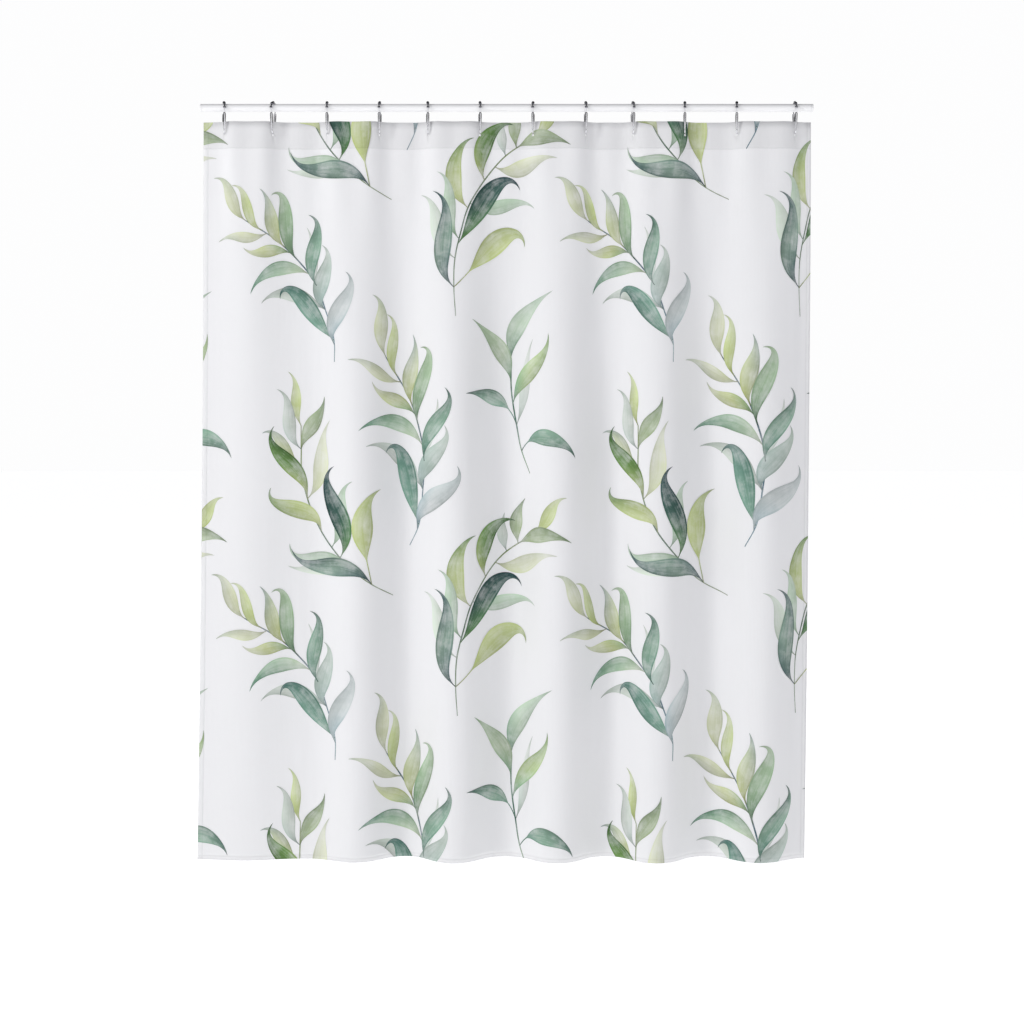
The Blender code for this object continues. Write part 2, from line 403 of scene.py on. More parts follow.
def printedColour(nodes, cloth, rib, paintShare):
    # wet paint settles at a leaf's edge and base, and thins out in soft blooms
    leaf = nodes.add("SeparateXYZ")
    nodes.link(nodes.add("UVMap", uv_map="leaf").outputs[0], leaf.inputs[0])
    along, across = leaf.outputs[0], leaf.outputs[1]
    flatMap = nodes.add("UVMap", uv_map="flat").outputs[0]
    paint = nodes.add("Attribute", attribute_name="paint").outputs[0]
    bloom = nodes.noise(nodes.stretched(flatMap, (22, 22, 1)), 1.0, 4.0, 0.6)
    grain = nodes.noise(nodes.stretched(flatMap, (260, 260, 1)), 1.0, 3.0, 0.6)
    side = nodes.math("ABSOLUTE", nodes.math("SUBTRACT", nodes.math("MULTIPLY", across, 2.0), 1.0))
    pool = nodes.ramp(side, ((0.0, 0.0), (0.78, 0.0), (0.92, 1.0), (1.0, 0.55)))
    vein = nodes.math("ABSOLUTE", nodes.math("SUBTRACT", across, 0.5))
    vein = nodes.ramp(vein, ((0.0, 1.0), (0.035, 0.25), (0.07, 0.0)))
    streak = nodes.add("CombineXYZ")
    nodes.link(nodes.math("MULTIPLY", along, 2.0), streak.inputs[0])
    nodes.link(nodes.math("MULTIPLY", across, 9.0), streak.inputs[1])
    nodes.link(nodes.math("MULTIPLY", bloom, 2.0), streak.inputs[2])
    streaks = nodes.noise(streak.outputs[0], 1.6, 3.0)
    density = nodes.math("ADD", 0.20, nodes.math("MULTIPLY", bloom, 1.35))
    density = nodes.math("ADD", density, nodes.math("MULTIPLY", nodes.math("SUBTRACT", streaks, 0.5), 0.58))
    density = nodes.math("ADD", density, nodes.math("MULTIPLY", nodes.math("SUBTRACT", grain, 0.5), 0.16))
    density = nodes.math("ADD", density, nodes.math("MULTIPLY", pool, 0.34))
    density = nodes.math("ADD", density, nodes.math("MULTIPLY", vein, 0.14))
    density = nodes.math("ADD", density, nodes.math("MULTIPLY", rib, -0.05))
    density = nodes.math("MINIMUM", nodes.math("MAXIMUM", density, 0.12), 1.55)
    # density thins the paint towards the white cloth, or deepens it
    thin = nodes.mix(nodes.math("MINIMUM", density, 1.0), (1.0, 1.0, 1.0), paint)
    deep = nodes.math("MAXIMUM", nodes.math("SUBTRACT", density, 1.0), 0.0)
    deepened = nodes.mix(deep, thin, nodes.mix(1.0, thin, paint, "MULTIPLY"))
    return nodes.mix(paintShare, cloth, nodes.mix(1.0, cloth, deepened, "MULTIPLY"))


def threadMaterial():
    nodes = Nodes("sewing thread")
    where = nodes.add("TexCoord").outputs["Object"]
    twist = nodes.noise(nodes.stretched(where, (900, 900, 900)), 1.0, 2.0)
    nodes.link(nodes.mix(twist, (0.74, 0.74, 0.76), (0.86, 0.86, 0.87)), nodes.shader.inputs["Base Color"])
    nodes.link(nodes.bump(twist, 0.0001), nodes.shader.inputs["Normal"])
    nodes.set(Roughness=0.6, Sheen_Weight=0.2)
    return nodes.material


fabricWhite = fabricMaterial("ribbed polyester")
printedFabric = fabricMaterial("watercolour print on polyester", paintShare=1.0)
showThrough = fabricMaterial("print showing through to the back", paintShare=0.17)
threadWhite = threadMaterial()

# the hole is a slot, and the wire lies at the top of it
buttonhole = {
    "halfWidth": 0.0022,
    "top": drape["topZ"] + 0.0642,
    "bottom": drape["topZ"] + 0.0714,
    "thread": 0.0007,
}


def linesWith(size, step, extra):
    even = np.linspace(0, size, round(size / step) + 1)
    kept = [line for line in even if min(abs(line - place) for place in extra) > step * 0.3]
    return np.array(sorted(set(kept + [0, size] + list(extra))))


def gridOnCloth(uLines, vLines, out):
    bm = bmesh.new()
    bmesh.ops.create_grid(bm, x_segments=len(uLines) - 1, y_segments=len(vLines) - 1, size=0.5)
    for vert in bm.verts:
        column = round((vert.co.x + 0.5) * (len(uLines) - 1))
        row = round((vert.co.y + 0.5) * (len(vLines) - 1))
        vert.co = (uLines[column], vLines[row], out)
    return bm


def cutButtonholes(bm):
    slots = []
    for face in bm.faces:
        place = face.calc_center_median()
        if not buttonhole["top"] < place.y < buttonhole["bottom"]:
            continue
        if min(abs(place.x - u) for u in holeU) < buttonhole["halfWidth"]:
            slots.append(face)
    bmesh.ops.delete(bm, geom=slots, context="FACES")


def addThickness(piece, thickness):
    wall = piece.modifiers.new("cloth thickness", "SOLIDIFY")
    wall.thickness = thickness
    wall.offset = -1


slotSides = [u + side * buttonhole["halfWidth"] for u in holeU for side in (-1, 1)]
slotEnds = [buttonhole["top"], buttonhole["bottom"]]


def makeSheet():
    uLines = linesWith(drape["width"], 0.0065, slotSides)
    vLines = linesWith(drape["length"], 0.0190, slotEnds)
    bm = gridOnCloth(uLines, vLines, 0)
    cutButtonholes(bm)
    bmesh.ops.reverse_faces(bm, faces=bm.faces)
    mesh = meshFrom(bm, "curtain_sheet")
    layMesh(mesh)
    sheet = hangPiece(addPiece("curtain_sheet", mesh, fabricWhite))
    addThickness(sheet, hem["thickness"])
    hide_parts(*numbered("curtain_panel"))
    return sheet


def makeHems():
    # the turned layers lie behind the sheet
    width, length, inset = drape["width"], drape["length"], hem["inset"]
    long = linesWith(width, 0.012, slotSides)
    tall = linesWith(length, 0.02, [inset])
    strips = {
        "curtain_header_hem": (long, linesWith(hem["header"], 0.01, slotEnds)),
        "curtain_side_hem_left": (np.linspace(inset, hem["side"], 4), tall),
        "curtain_side_hem_right": (np.linspace(width - hem["side"], width - inset, 4), tall),
        "curtain_bottom_hem": (long, np.linspace(length - hem["bottom"], length - inset, 4)),
    }
    pieces = []
    for name, (uLines, vLines) in strips.items():
        depth = -hem["layer"] * (1 if "side" in name else 1.7)
        bm = gridOnCloth(uLines, vLines, depth)
        if "header" in name:
            cutButtonholes(bm)
        bmesh.ops.reverse_faces(bm, faces=bm.faces)
        mesh = meshFrom(bm, name)
        layMesh(mesh)
        strip = hangPiece(addPiece(name, mesh, fabricWhite))
        addThickness(strip, hem["thickness"])
        pieces.append(strip)
    return pieces


stitch = {"length": 0.0026, "thread": 0.00034, "raise": 0.0001, "doublings": 9, "fromEdge": 0.004}


def makeStitchLine(name, place, first, last, down):
    # one stitch, doubled again and again along its line
    bm = bmesh.new()
    bmesh.ops.create_uvsphere(bm, u_segments=6, v_segments=4, radius=1)
    size = (stitch["length"] / 2, stitch["thread"], stitch["thread"])
    bmesh.ops.transform(bm, verts=bm.verts, matrix=Matrix.Diagonal((*size, 1)))
    pitch = (last - first) / 2 ** stitch["doublings"]
    for i in range(stitch["doublings"]):
        copy = bmesh.ops.duplicate(bm, geom=allParts(bm))["geom"]
        moved = [part for part in copy if isinstance(part, bmesh.types.BMVert)]
        bmesh.ops.translate(bm, verts=moved, vec=(pitch * 2**i, 0, 0))
    start = first + pitch / 2
    lay = Matrix.Translation((start, place, stitch["raise"]))
    if down:
        lay = Matrix.Translation((place, start, stitch["raise"])) @ Matrix.Rotation(pi / 2, 4, "Z")
    bmesh.ops.transform(bm, verts=bm.verts, matrix=lay)
    mesh = meshFrom(bm, name)
    layMesh(mesh)
    return hangPiece(addPiece(name, mesh, threadWhite))


def makeStitches():
    width, length, edge = drape["width"], drape["length"], stitch["fromEdge"]
    start, end = hem["sideStitch"], length - hem["bottomStitch"]
    return [
        makeStitchLine("stitches_header", hem["headerStitch"], edge, width - edge, False),
        makeStitchLine("stitches_bottom", end, start, width - start, False),
        makeStitchLine("stitches_left", start, edge, end, True),
        makeStitchLine("stitches_right", width - start, edge, end, True),
    ]


def makeButtonholes():
    bm = bmesh.new()
    middle = (buttonhole["top"] + buttonhole["bottom"]) / 2
    stretch = (buttonhole["bottom"] - buttonhole["top"]) / 2 - buttonhole["halfWidth"]
    for u in holeU:
        thread = bmesh.ops.create_circle(bm, segments=7, radius=buttonhole["thread"])["verts"]
        turn = Matrix.Translation((buttonhole["halfWidth"], 0, 0)) @ Matrix.Rotation(pi / 2, 4, "X")
        bmesh.ops.transform(bm, verts=thread, matrix=turn)
        edges = list({edge for vert in thread for edge in vert.link_edges})
        before = set(bm.verts) - set(thread)
        bmesh.ops.spin(
            bm, geom=thread + edges, cent=(0, 0, 0), axis=(0, 0, 1), angle=tau, steps=20, use_merge=True,
        )
        for vert in set(bm.verts) - before:
            vert.co.y += stretch if vert.co.y > 0.0001 else -stretch
            vert.co += Vector((u, middle, 0))
    bmesh.ops.recalc_face_normals(bm, faces=bm.faces)
    mesh = meshFrom(bm, "buttonhole_threads")
    layMesh(mesh)
    return hangPiece(addPiece("buttonhole_threads", mesh, threadWhite))


sheet = makeSheet()
hems = makeHems()
stitches = makeStitches()
buttonholes = makeButtonholes()
print("curtain sheet, hems and stitching made")


# the print is five kinds of willow sprig, each in paints for the base, middle and tip of a leaf
paints = {
    "paleLime": ("b7bd93", "d6dabe", "c6d0bc"),
    "lime": ("a6b26c", "cdd8a2", "d3dcb4"),
    "mist": ("bccac0", "dde3dc", "e1e8de"),
    "sageLime": ("adb570", "c6ceaa", "aebdb8"),
    "limeGreen": ("6f9470", "c9d19e", "dadec8"),
    "mintDark": ("4f7255", "a6bf9e", "b0c4a6"),
    "tealTip": ("c6d2b6", "a6c0a6", "4e8a70"),
    "teal": ("8eb3a0", "759b8b", "466f69"),
    "tealDark": ("4c7c6d", "93b29e", "4c6c62"),
    "sageBlue": ("97aeaa", "b9c8bf", "cbd6cb"),
    "sagePale": ("b4c1bb", "cfd7cd", "bac5ba"),
    "blueGrey": ("96aeb4", "ced5d3", "b9c3c2"),
    "green": ("b6be84", "729556", "3e663a"),
    "sageGreen": ("9fb086", "b0be9f", "849878"),
    "palestLime": ("ccd3a8", "dfe3c9", "e4e8d6"),
    "limeTip": ("ced5a6", "bdc992", "6f9460"),
    "inkBlue": ("6f9a5e", "46665c", "2d4a52"),
    "mint": ("a3bfa4", "c0d4bd", "c8d9c6"),
    "mintPale": ("cddbca", "dae5d6", "dfe8dc"),
    "inkSage": ("34505a", "8ba294", "435f64"),
    "olive": ("abb96e", "c9d39c", "afbe86"),
    "mintBase": ("3f7658", "c6d7c2", "bfd3bf"),
    "sageBase": ("487e62", "b5c5a8", "a8bfa0"),
    "mintLime": ("84b096", "bfd0a0", "a6be92"),
}

# each leaf: place along the stem, its tip right and up of there, its width,
# its turn at the foot, the hook of its tip, its paint
# sizes are in millimetres on the flat cloth, up from the sprig's foot
archingLeaves = (
    (0.43, -27, 150, 28, 4, -10, "mist"),
    (0.29, -188, 20, 40, -18, -26, "sagePale"),
    (1.00, -99, 114, 40, 16, -28, "paleLime"),
    (0.88, -92, 118, 30, 26, -30, "lime"),
    (0.85, -150, -20, 28, 14, -14, "paleLime"),
    (0.72, -72, 150, 42, 22, -14, "sageLime"),
    (0.67, -143, 10, 32, -14, 18, "limeGreen"),
    (0.62, -76, 172, 42, 20, -52, "mintDark"),
    (0.51, -176, -48, 38, -34, -26, "tealTip"),
    (0.29, -6, 168, 48, 38, -30, "sageBlue"),
    (0.434, -20, 186, 42, 26, -34, "tealDark"),
    (0.12, -166, 112, 48, -4, -62, "teal"),
    (0.09, 38, 190, 52, 34, -34, "blueGrey"),
)
risingLeaves = (
    (0.27, -100, 167, 46, 24, -24, "mintPale"),
    (0.53, 190, -10, 38, -20, 20, "mint"),
    (0.825, -6, 100, 28, 14, 10, "sagePale"),
    (1.00, 91, 92, 36, -18, 22, "lime"),
    (0.895, 158, 8, 42, 22, 16, "sageGreen"),
    (0.895, 20, 118, 36, 18, 16, "sageGreen"),
    (0.67, 84, 150, 52, 46, 40, "green"),
    (0.75, 181, 22, 46, -26, 10, "palestLime"),
    (0.51, 13, 186, 48, 44, 36, "limeTip"),
    (0.36, -60, 176, 38, 20, -26, "mint"),
    (0.33, 188, 150, 58, 10, 52, "inkBlue"),
    (0.135, -56, 252, 52, 30, -30, "inkSage"),
    (0.135, 216, 112, 62, 10, 56, "olive"),
)
bendingLeaves = (
    (0.25, -187, 6, 42, -12, 10, "mintPale"),
    (0.80, -111, 96, 32, 6, -34, "sageLime"),
    (0.40, 60, 172, 44, -18, 24, "mint"),
    (1.00, -33, 140, 28, 12, -20, "lime"),
    (0.89, -64, 156, 38, 26, -24, "sagePale"),
    (0.89, 70, 134, 42, 10, -12, "sageGreen"),
    (0.66, -98, 188, 46, -22, 34, "green"),
    (0.66, 66, 202, 46, -22, 10, "palestLime"),
    (0.495, -148, 112, 46, -38, 40, "limeTip"),
    (0.33, -24, 238, 58, -34, 34, "inkBlue"),
    (0.25, -188, 62, 40, -18, 34, "mint"),
    (0.136, -234, 84, 50, -26, 24, "inkSage"),
    (0.136, 23, 248, 62, 14, 30, "olive"),
)
youngLeaves = (
    (0.45, 49, 220, 30, -8, 6, "mist"),
    (1.00, 120, 186, 50, 32, 14, "mintBase"),
    (0.755, -111, 184, 46, -24, -12, "sageBase"),
    (0.64, 110, 178, 46, 14, -18, "mintLime"),
    (0.45, -147, 84, 40, -34, -18, "tealDark"),
    (0.215, 161, -14, 44, 52, 30, "tealDark"),
)
archingStem = ((0, 0), (0, 50), (-26, 130), (-53, 195), (-111, 264), (-156, 303), (-259, 359))
archingSprig = {
    "stem": archingStem,
    "leaves": archingLeaves,
    "behind": 2,
    "wood": ("9fc0cc", "4a6470", "5f7a80"),
}
# each sprig: its stem's points, its leaves, how many of them lie behind the stem, and the stem's paints
sprigs = {
    "arching": archingSprig,
    "upright": archingSprig,
    "rising": {
        "stem": ((0, 0), (-5, 73), (-2, 147), (15, 216), (33, 272), (82, 345), (138, 405), (227, 461)),
        "leaves": risingLeaves,
        "behind": 3,
        "wood": ("a8ba9a", "4f6a55", "9aa872"),
    },
    "bending": {
        "stem": (
            (0, 0), (-68, 32), (-120, 69), (-213, 166), (-251, 248), (-267, 325), (-267, 374), (-267, 434),
        ),
        "leaves": bendingLeaves,
        "behind": 3,
        "wood": ("b2bf9a", "54705c", "a7b57c"),
    },
    "young": {
        "stem": ((0, 0), (-25, 57), (-39, 125), (-48, 178), (-52, 211), (-52, 282)),
        "leaves": youngLeaves,
        "behind": 1,
        "wood": ("bccfae", "3f6a58", "6a927c"),
    },
}
# where each sprig stands: its foot from the cloth's top left corner, in metres, its turn and its size
printRepeat = 1.011
placings = (
    ("arching", 0.387, 0.612, 0, 1.0),
    ("upright", 0.603, 1.081, -28, 1.1),
    ("young", 0.965, 0.896, 0, 1.0),
    ("bending", 0.555, 1.208, 0, 1.0),
    ("rising", 0.753, 0.496, 0, 1.0),
)
# leaves that stand on a stalk of their own, and its share of their length
petioles = {
    ("rising", 12): 0.18,
    ("bending", 12): 0.2,
    ("young", 2): 0.12,
    ("young", 4): 0.24,
    ("young", 5): 0.16,
}
# metres above the cloth and from its edge, and the stem's width in millimetres
printing = {
    "lift": 0.00026,
    "layer": 0.00012,
    "backLayer": 0.8,
    "fromEdge": 0.0006,
    "segments": 34,
    "lines": 6,
    "stem": 2.6,
    "stemPoints": 120,
    "light": 1.07,
    "slim": 0.86,
    "stalk": 0.04,
    "tipCurl": 0.75,
    "curlFrom": 0.76,
    # a whole sprig's reach from its foot, to each side and up
    "reachU": 0.42,
    "reachV": 0.60,
}


def curveThrough(points, count):
    points = np.array(points, float)
    steps = np.concatenate(([0], np.cumsum(np.linalg.norm(np.diff(points, axis=0), axis=1))))
    tangents = np.gradient(points, steps, axis=0)
    at = np.linspace(0, steps[-1], count)
    k = np.clip(np.searchsorted(steps, at, side="right") - 1, 0, len(points) - 2)
    gap = (steps[k + 1] - steps[k])[:, None]
    t = ((at - steps[k]) / (steps[k + 1] - steps[k]))[:, None]
    return (
        (2 * t**3 - 3 * t**2 + 1) * points[k] + (t**3 - 2 * t**2 + t) * gap * tangents[k]
        + (3 * t**2 - 2 * t**3) * points[k + 1] + (t**3 - t**2) * gap * tangents[k + 1]
    )


def turned(vector, degrees):
    c, s = cos(radians(degrees)), sin(radians(degrees))
    return np.array([vector[0] * c - vector[1] * s, vector[0] * s + vector[1] * c])


def leafCentreLine(foot, reach, leave, hook, count):
    # the leaf leaves its stem at one angle and sweeps round to another, and its tip curls on a little
    reach = np.array(reach, float)
    tip = foot + reach
    first = foot + turned(reach, leave * 1.25) * 0.44
    second = tip - turned(reach, -hook * 1.45) * 0.40
    t = np.linspace(0, 1, count)[:, None]
    line = foot * (1 - t) ** 3 + 3 * first * t * (1 - t) ** 2 + 3 * second * t**2 * (1 - t) + tip * t**3
    steps = np.diff(line, axis=0)
    for i in range(len(steps)):
        curled = max(0, (i / len(steps) - printing["curlFrom"]) / (1 - printing["curlFrom"]))
        steps[i] = turned(steps[i], -hook * printing["tipCurl"] * curled**1.4)
    return np.vstack([line[:1], line[0] + np.cumsum(steps, axis=0)])


def leafWidths(width, petiole, count):
    s = np.clip((np.linspace(0, 1, count) - petiole) / (1 - petiole), 0, 1)
    belly = np.sin(pi * s**0.78) ** 1.7 * (1.14 - 0.24 * s)
    share = np.linspace(0, 1, count)
    stalk = 2.2 * (1 - share) ** 0.7
    point = 2.4 * share * (1 - share**14) ** 0.5
    return printing["slim"] * width * belly + stalk + point + 0.1


def leafPaint(colours, s, t, lean):
    # the tones run a little slantwise across the leaf, and one side is painted deeper
    base, middle, tip = colours
    at = min(max(s + 0.30 * lean * (t - 0.5) * 4 * s * (1 - s) * 2, 0), 1)
    if at < 0.42:
        share = (at / 0.42) ** 0.8
        mixed = base * (1 - share) + middle * share
    else:
        share = ((at - 0.42) / 0.58) ** 1.3
        mixed = middle * (1 - share) + tip * share
    ends = 1 - 0.50 * max(0, 1 - s / 0.16) - 0.30 * max(0, (s - 0.84) / 0.16)
    deeper = 1 - lean * (t - 0.5) * sin(pi * min(s * 1.1, 1))
    return np.clip(printing["light"] * mixed * ends * deeper, 0, 1)


def addBlade(bm, layers, centre, widths, colours, lean, out):
    leafMap, paintLayer = layers
    segments, lines = len(centre) - 1, printing["lines"] if lean else 2
    made = bmesh.ops.create_grid(bm, x_segments=segments, y_segments=lines, size=0.5)["verts"]
    along = np.gradient(centre, axis=0)
    along /= np.linalg.norm(along, axis=1)[:, None] + 1e-9
    aside = np.stack([-along[:, 1], along[:, 0]], axis=1)
    shares = {}
    for vert in made:
        i = round((vert.co.x + 0.5) * segments)
        t = vert.co.y + 0.5
        place = centre[i] + aside[i] * widths[i] * (t - 0.5)
        shares[vert] = (i / segments, t)
        vert.co = (place[0], place[1], out)
        vert[paintLayer] = (*leafPaint(colours, i / segments, t, lean), 1)
    for face in {face for vert in made for face in vert.link_faces}:
        for loop in face.loops:
            loop[leafMap].uv = shares[loop.vert]


def layerOver(laid, centre, widths):
    # a leaf lies one layer above the leaves that it crosses
    layer = 0
    for otherCentre, otherWidths, otherLayer in laid:
        gaps = np.linalg.norm(centre[:, None] - otherCentre[None], axis=2)
        if (gaps < (widths[:, None] + otherWidths[None]) / 2 + 3).any():
            layer = max(layer, otherLayer + 1)
    laid.append((centre, widths, layer))
    return layer


def trimToCloth(bm):
    trim = printing["fromEdge"]
    width, length = drape["width"] - trim, drape["length"] - trim
    for place, away in (((trim, 0, 0), (-1, 0, 0)), ((width, 0, 0), (1, 0, 0)),
                        ((0, trim, 0), (0, -1, 0)), ((0, length, 0), (0, 1, 0))):
        if bm.faces:
            bmesh.ops.bisect_plane(bm, geom=allParts(bm), plane_co=place, plane_no=away, clear_outer=True)


def facesNear(bm, middle, reach):
    return [face for face in bm.faces if (face.calc_center_median().xy - middle).length < reach]


def trimAtButtonholes(bm):
    edge = buttonhole["halfWidth"] + buttonhole["thread"]
    top, bottom = buttonhole["top"] - buttonhole["thread"], buttonhole["bottom"] + buttonhole["thread"]
    for u in holeU:
        middle = Vector((u, (top + bottom) / 2))
        if not facesNear(bm, middle, 0.04):
            continue
        for place, away in (((u - edge, 0, 0), (1, 0, 0)), ((u + edge, 0, 0), (1, 0, 0)),
                            ((0, top, 0), (0, 1, 0)), ((0, bottom, 0), (0, 1, 0))):
            near = facesNear(bm, middle, 0.05)
            edges = list({part for face in near for part in face.edges})
            verts = list({part for face in near for part in face.verts})
            bmesh.ops.bisect_plane(bm, geom=near + edges + verts, plane_co=place, plane_no=away)
        inside = []
        for face in bm.faces:
            place = face.calc_center_median()
            if abs(place.x - u) < edge and top < place.y < bottom:
                inside.append(face)
        bmesh.ops.delete(bm, geom=inside, context="FACES")


def addShowThrough(bm):
    # the paint shows faintly on the back of the cloth
    copy = bmesh.ops.duplicate(bm, geom=allParts(bm))["geom"]
    faces = [part for part in copy if isinstance(part, bmesh.types.BMFace)]
    for part in copy:
        if isinstance(part, bmesh.types.BMVert):
            part.co.z = -hem["thickness"] - part.co.z * printing["backLayer"]
    for face in faces:
        face.material_index = 1
    bmesh.ops.reverse_faces(bm, faces=faces)


def makeSprig(kind, number, footU, footV, turn, size, seed):
    sprig = sprigs[kind]
    bm = bmesh.new()
    leafMap = bm.loops.layers.uv.new("leaf")
    paintLayer = bm.verts.layers.float_color.new("paint")
    layers = (leafMap, paintLayer)
    chance = np.random.default_rng(seed)
    points = printing["stemPoints"]
    stem = curveThrough(sprig["stem"], points + 1)
    laid = []
    woodColours = [np.array(ink(code)) for code in sprig["wood"]]
    stemWidths = printing["stem"] * (0.5 + 0.9 * np.sin(pi * np.linspace(0.06, 0.85, points + 1)) ** 0.8)
    for order, (share, right, up, width, leave, hook, paint) in enumerate(sprig["leaves"]):
        if order == sprig["behind"]:
            out = layerOver(laid, stem, stemWidths)
            addBlade(bm, layers, stem, stemWidths, woodColours, 0, out)
        foot = stem[round(share * points)]
        centre = leafCentreLine(foot, (right, up), leave, hook, printing["segments"] + 1)
        petiole = petioles.get((kind, order), printing["stalk"])
        widths = leafWidths(width, petiole, printing["segments"] + 1)
        colours = [np.array(ink(code)) * chance.uniform(0.96, 1.04) for code in paints[paint]]
        lean = chance.choice((-1, 1)) * chance.uniform(0.25, 0.55)
        addBlade(bm, layers, centre, widths, colours, lean, layerOver(laid, centre, widths))
    for vert in bm.verts:
        x, y = turned(vert.co[:2], turn) * size / 1000
        vert.co = (footU + x, footV - y, printing["lift"] + printing["layer"] * vert.co.z)
    trimToCloth(bm)
    trimAtButtonholes(bm)
    if not bm.faces:
        bm.free()
        return None
    # the print faces the same way as the cloth
    for face in bm.faces:
        face.normal_update()
    bmesh.ops.reverse_faces(bm, faces=[face for face in bm.faces if face.normal.z < 0])
    addShowThrough(bm)
    name = f"print_{kind}_{number:02d}"
    mesh = meshFrom(bm, name)
    layMesh(mesh)
    sprigPiece = addPiece(name, mesh, printedFabric)
    mesh.materials.append(showThrough)
    return hangPiece(sprigPiece)


def makePrint():
    made = []
    counts = {kind: 0 for kind in sprigs}
    for kind, footU, footV, turn, size in placings:
        for column in (-1, 0, 1):
            for row in (-1, 0, 1):
                u, v = footU + printRepeat * column, footV + printRepeat * row
                aside, above = printing["reachU"] * size, printing["reachV"] * size
                if u + aside < 0 or u - aside > drape["width"] or v - above > drape["length"] or v < 0:
                    continue
                piece = makeSprig(kind, counts[kind] + 1, u, v, turn, size, 31 + 7 * len(made))
                if piece is not None:
                    counts[kind] += 1
                    made.append(piece)
    return made


prints = makePrint()
print(f"{len(prints)} printed sprigs made")


def chromeMaterial(name, dark, pale):
    nodes = Nodes(name)
    where = nodes.add("TexCoord").outputs["Object"]
    wear = nodes.noise(nodes.stretched(where, (300, 300, 120)), 1.0, 3.0)
    nodes.link(nodes.mix(wear, dark, pale), nodes.shader.inputs["Base Color"])
    nodes.link(nodes.ramp(wear, ((0.3, 0.07), (0.7, 0.16))), nodes.shader.inputs["Roughness"])
    scratches = nodes.noise(nodes.stretched(where, (2400, 2400, 300)), 1.0, 2.0)
    nodes.link(nodes.bump(scratches, 0.00002), nodes.shader.inputs["Normal"])
    nodes.set(Metallic=1.0)
    return nodes.material


# the ring in metres from the rod's centre, and each ring's turn about the vertical
ring = {
    "wire": 0.0024,
    "legTop": 0.0068,
    "legFoot": 0.0036,
    "footRadius": 0.0085,
    "footZ": -0.066,
    "shoulderY": 0.0125,
    "shoulderZ": -0.0125,
    "archRadius": 0.015,
    "archReach": 100,
    "turns": (15, -13, 4, -3, 6, 5, -4, 3, 7, -5, -7, 5),
    "sideBeads": (-86, -43, 43, 86),
}
bead = {"radius": 0.0036, "halfWidth": 0.0029, "bore": 0.00185, "lip": 0.0005, "sides": 24}
chrome = chromeMaterial("polished chrome", (0.66, 0.66, 0.69), (0.82, 0.82, 0.84))
# the beads' chrome is painted darker, standing in for the dark reflections they catch
beadShadedChrome = chromeMaterial("chrome of the beads, darkened as painted dark reflection", (0.26, 0.26, 0.29), (0.36, 0.36, 0.39))


def ringRoute():
    # from the open top of the front leg, round the foot, up the back leg and over the arch
    r = ring
    foot = r["legFoot"] / 2
    thick = r["legTop"] / 2
    footTop = r["footZ"] + r["footRadius"]
    shoulder = r["shoulderZ"]
    rounding = [(0.0, 0.05), (0.0002, 0.42), (0.0007, 0.66), (0.0014, 0.86), (0.0024, 0.97), (0.0036, 1.0)]
    rounded = rounding[-1][0]
    leg = []
    for i in range(1, 8):
        share = i / 8
        y = r["shoulderY"] + (r["footRadius"] - r["shoulderY"]) * share
        z = shoulder - rounded + (footTop - shoulder + rounded) * share
        leg.append((y, z, thick + (foot - thick) * share**2))
    route = [(-r["shoulderY"], shoulder - drop, thick * share) for drop, share in rounding]
    route += [(-y, z, radius) for y, z, radius in leg]
    for i in range(17):
        angle = pi * i / 16
        route.append((-r["footRadius"] * cos(angle), footTop - r["footRadius"] * sin(angle), foot))
    route += leg[::-1]
    for drop, share in rounding[::-1]:
        route.append((r["shoulderY"], shoulder - drop, max(thick * share, r["wire"] / 2)))
    archZ = nodeCentre("ring_roller_01").z - r["archRadius"]
    for i in range(33):
        angle = radians(r["archReach"]) * (1 - i / 16)
        route.append((r["archRadius"] * sin(angle), archZ + r["archRadius"] * cos(angle), r["wire"] / 2))
    route.append((-r["shoulderY"], shoulder + 0.0008, r["wire"] / 2))
    return route


def makeRingWire(name, place, turn):
    curve = bpy.data.curves.new(name, "CURVE")
    curve.dimensions = "3D"
    curve.bevel_depth = 1.0
    curve.bevel_resolution = 5
    curve.use_fill_caps = True
    spline = curve.splines.new("POLY")
    route = ringRoute()
    spline.points.add(len(route) - 1)
    spin = Matrix.Translation((place.x, 0, 0)) @ Matrix.Rotation(radians(turn), 4, "Z")
    for point, (y, z, radius) in zip(spline.points, route):
        point.co = (*(spin @ Vector((0, y, z))), 1)
        point.radius = radius
    spline.use_smooth = True
    wire = bpy.data.objects.new(name, curve)
    bpy.context.scene.collection.objects.link(wire)
    curve.materials.append(chrome)
    return wire


def addBead(bm, matrix):
    # a barrel-shaped bead, bored for the wire
    steps = 8
    outline = [(bead["bore"], -bead["halfWidth"] * 0.86), (bead["bore"], bead["halfWidth"] * 0.86)]
    outline += [(bead["bore"] + bead["lip"], bead["halfWidth"])]
    for i in range(steps + 1):
        along = bead["halfWidth"] * 0.9 * (1 - 2 * i / steps)
        outline.append(((bead["radius"] ** 2 - (along * 0.8) ** 2) ** 0.5, along))
    outline += [(bead["bore"] + bead["lip"], -bead["halfWidth"])]
    verts = [bm.verts.new((radius, along, 0)) for radius, along in outline]
    edges = [bm.edges.new((verts[i], verts[(i + 1) % len(verts)])) for i in range(len(verts))]
    before = set(bm.verts) - set(verts)
    bmesh.ops.spin(
        bm, geom=verts + edges, cent=(0, 0, 0), axis=(0, 1, 0), angle=tau,
        steps=bead["sides"], use_merge=True,
    )
    bmesh.ops.transform(bm, verts=list(set(bm.verts) - before), matrix=matrix)


def makeBeads(name, matrices):
    bm = bmesh.new()
    for matrix in matrices:
        addBead(bm, matrix)
    bmesh.ops.recalc_face_normals(bm, faces=bm.faces)
    return addPiece(name, meshFrom(bm, name), beadShadedChrome)


